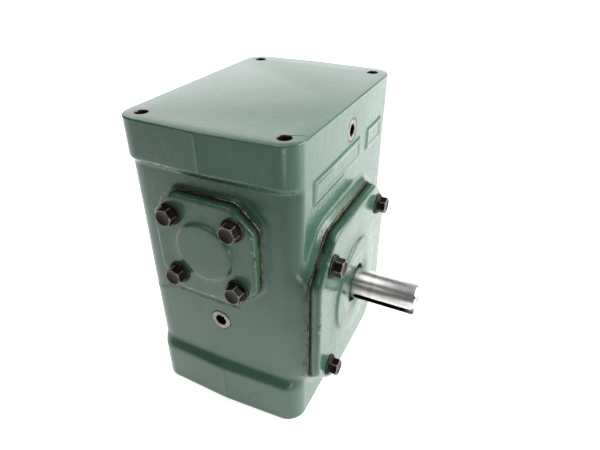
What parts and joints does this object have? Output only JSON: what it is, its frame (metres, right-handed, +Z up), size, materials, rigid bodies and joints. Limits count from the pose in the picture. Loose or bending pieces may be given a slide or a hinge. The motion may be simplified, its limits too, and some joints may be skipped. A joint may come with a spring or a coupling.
{
  "type": "worm gearbox",
  "caption": "Cast worm gear reducer: flange-faced box with octagonal bolted covers, a keyed output shaft through the side cover and a keyed input shaft at the rear.",
  "frame": {"origin": "middle of the box's underside", "axes": "+X out of the box along the output shaft, -Y out of the front with the small cover and the level plug, +Y along the input shaft, +Z up"},
  "size_m": [0.19, 0.2429, 0.2286],
  "materials": {
    "enamel": "glossy grey-green enamel over a cast surface, chipped to dark primer in spots",
    "gasket": "olive gasket sheet with squeezed-out sealant",
    "black_bolt": "black oxide, worn bright on the edges of the heads",
    "plug_steel": "dull steel with light rust",
    "ground_steel": "ground bright steel",
    "bronze": "machined bronze, oiled",
    "cast_iron": "cast, turned on its seats",
    "bearing_steel": "polished bearing steel",
    "seal_rubber": "matte black nitrile"
  },
  "bodies": {
    "case": {"housing": "enamel", "output_cover": "enamel", "output_gasket": "gasket", "output_cover_bolt_1": "black_bolt", "output_cover_bolt_2": "black_bolt", "output_cover_bolt_3": "black_bolt", "output_cover_bolt_4": "black_bolt", "worm_front_cover": "enamel", "worm_front_gasket": "gasket", "worm_front_cover_bolt_1": "black_bolt", "worm_front_cover_bolt_2": "black_bolt", "worm_front_cover_bolt_3": "black_bolt", "worm_front_cover_bolt_4": "black_bolt", "worm_rear_cover": "enamel", "worm_rear_gasket": "gasket", "worm_rear_cover_bolt_1": "black_bolt", "worm_rear_cover_bolt_2": "black_bolt", "worm_rear_cover_bolt_3": "black_bolt", "worm_rear_cover_bolt_4": "black_bolt", "output_seal": "seal_rubber", "input_seal": "seal_rubber", "fill_plug": "plug_steel", "level_plug": "plug_steel", "drain_plug": "plug_steel", "output_bearing_outer_ring": "bearing_steel", "blind_bearing_outer_ring": "bearing_steel", "worm_front_bearing_outer_ring": "bearing_steel", "worm_rear_bearing_outer_ring": "bearing_steel"},
    "output": {"output_shaft": "ground_steel", "worm_wheel": "bronze", "wheel_hub": "cast_iron", "wheel_key": "ground_steel", "output_spacer": "ground_steel", "blind_spacer": "ground_steel", "output_bearing_inner_ring": "bearing_steel", "blind_bearing_inner_ring": "bearing_steel"},
    "worm": {"worm_shaft": "ground_steel", "worm_front_bearing_inner_ring": "bearing_steel", "worm_rear_bearing_inner_ring": "bearing_steel"},
    "output_cage": {"output_bearing_rollers": "bearing_steel"},
    "blind_cage": {"blind_bearing_rollers": "bearing_steel"},
    "worm_front_cage": {"worm_front_bearing_rollers": "bearing_steel"},
    "worm_rear_cage": {"worm_rear_bearing_rollers": "bearing_steel"}
  },
  "joints": [
    {"name": "worm_spin", "type": "hinge", "parent": "case", "child": "worm", "pos_m": [0, -0.0127, 0.14765], "axis": [0, 1, 0], "continuous": true},
    {"name": "output_spin", "type": "hinge", "parent": "case", "child": "output", "pos_m": [0, -0.0127, 0.0905], "axis": [1, 0, 0], "continuous": true},
    {"name": "output_cage_spin", "type": "hinge", "parent": "case", "child": "output_cage", "pos_m": [0, -0.0127, 0.0905], "axis": [1, 0, 0], "continuous": true},
    {"name": "blind_cage_spin", "type": "hinge", "parent": "case", "child": "blind_cage", "pos_m": [0, -0.0127, 0.0905], "axis": [1, 0, 0], "continuous": true},
    {"name": "worm_front_cage_spin", "type": "hinge", "parent": "case", "child": "worm_front_cage", "pos_m": [0, -0.0127, 0.14765], "axis": [0, 1, 0], "continuous": true},
    {"name": "worm_rear_cage_spin", "type": "hinge", "parent": "case", "child": "worm_rear_cage", "pos_m": [0, -0.0127, 0.14765], "axis": [0, 1, 0], "continuous": true}
  ],
  "couplings": [
    {"joint": "output_spin", "follows": "worm_spin", "ratio": 0.033333},
    {"joint": "output_cage_spin", "follows": "worm_spin", "ratio": 0.014633},
    {"joint": "blind_cage_spin", "follows": "worm_spin", "ratio": 0.014633},
    {"joint": "worm_front_cage_spin", "follows": "worm_spin", "ratio": 0.439},
    {"joint": "worm_rear_cage_spin", "follows": "worm_spin", "ratio": 0.439}
  ]
}
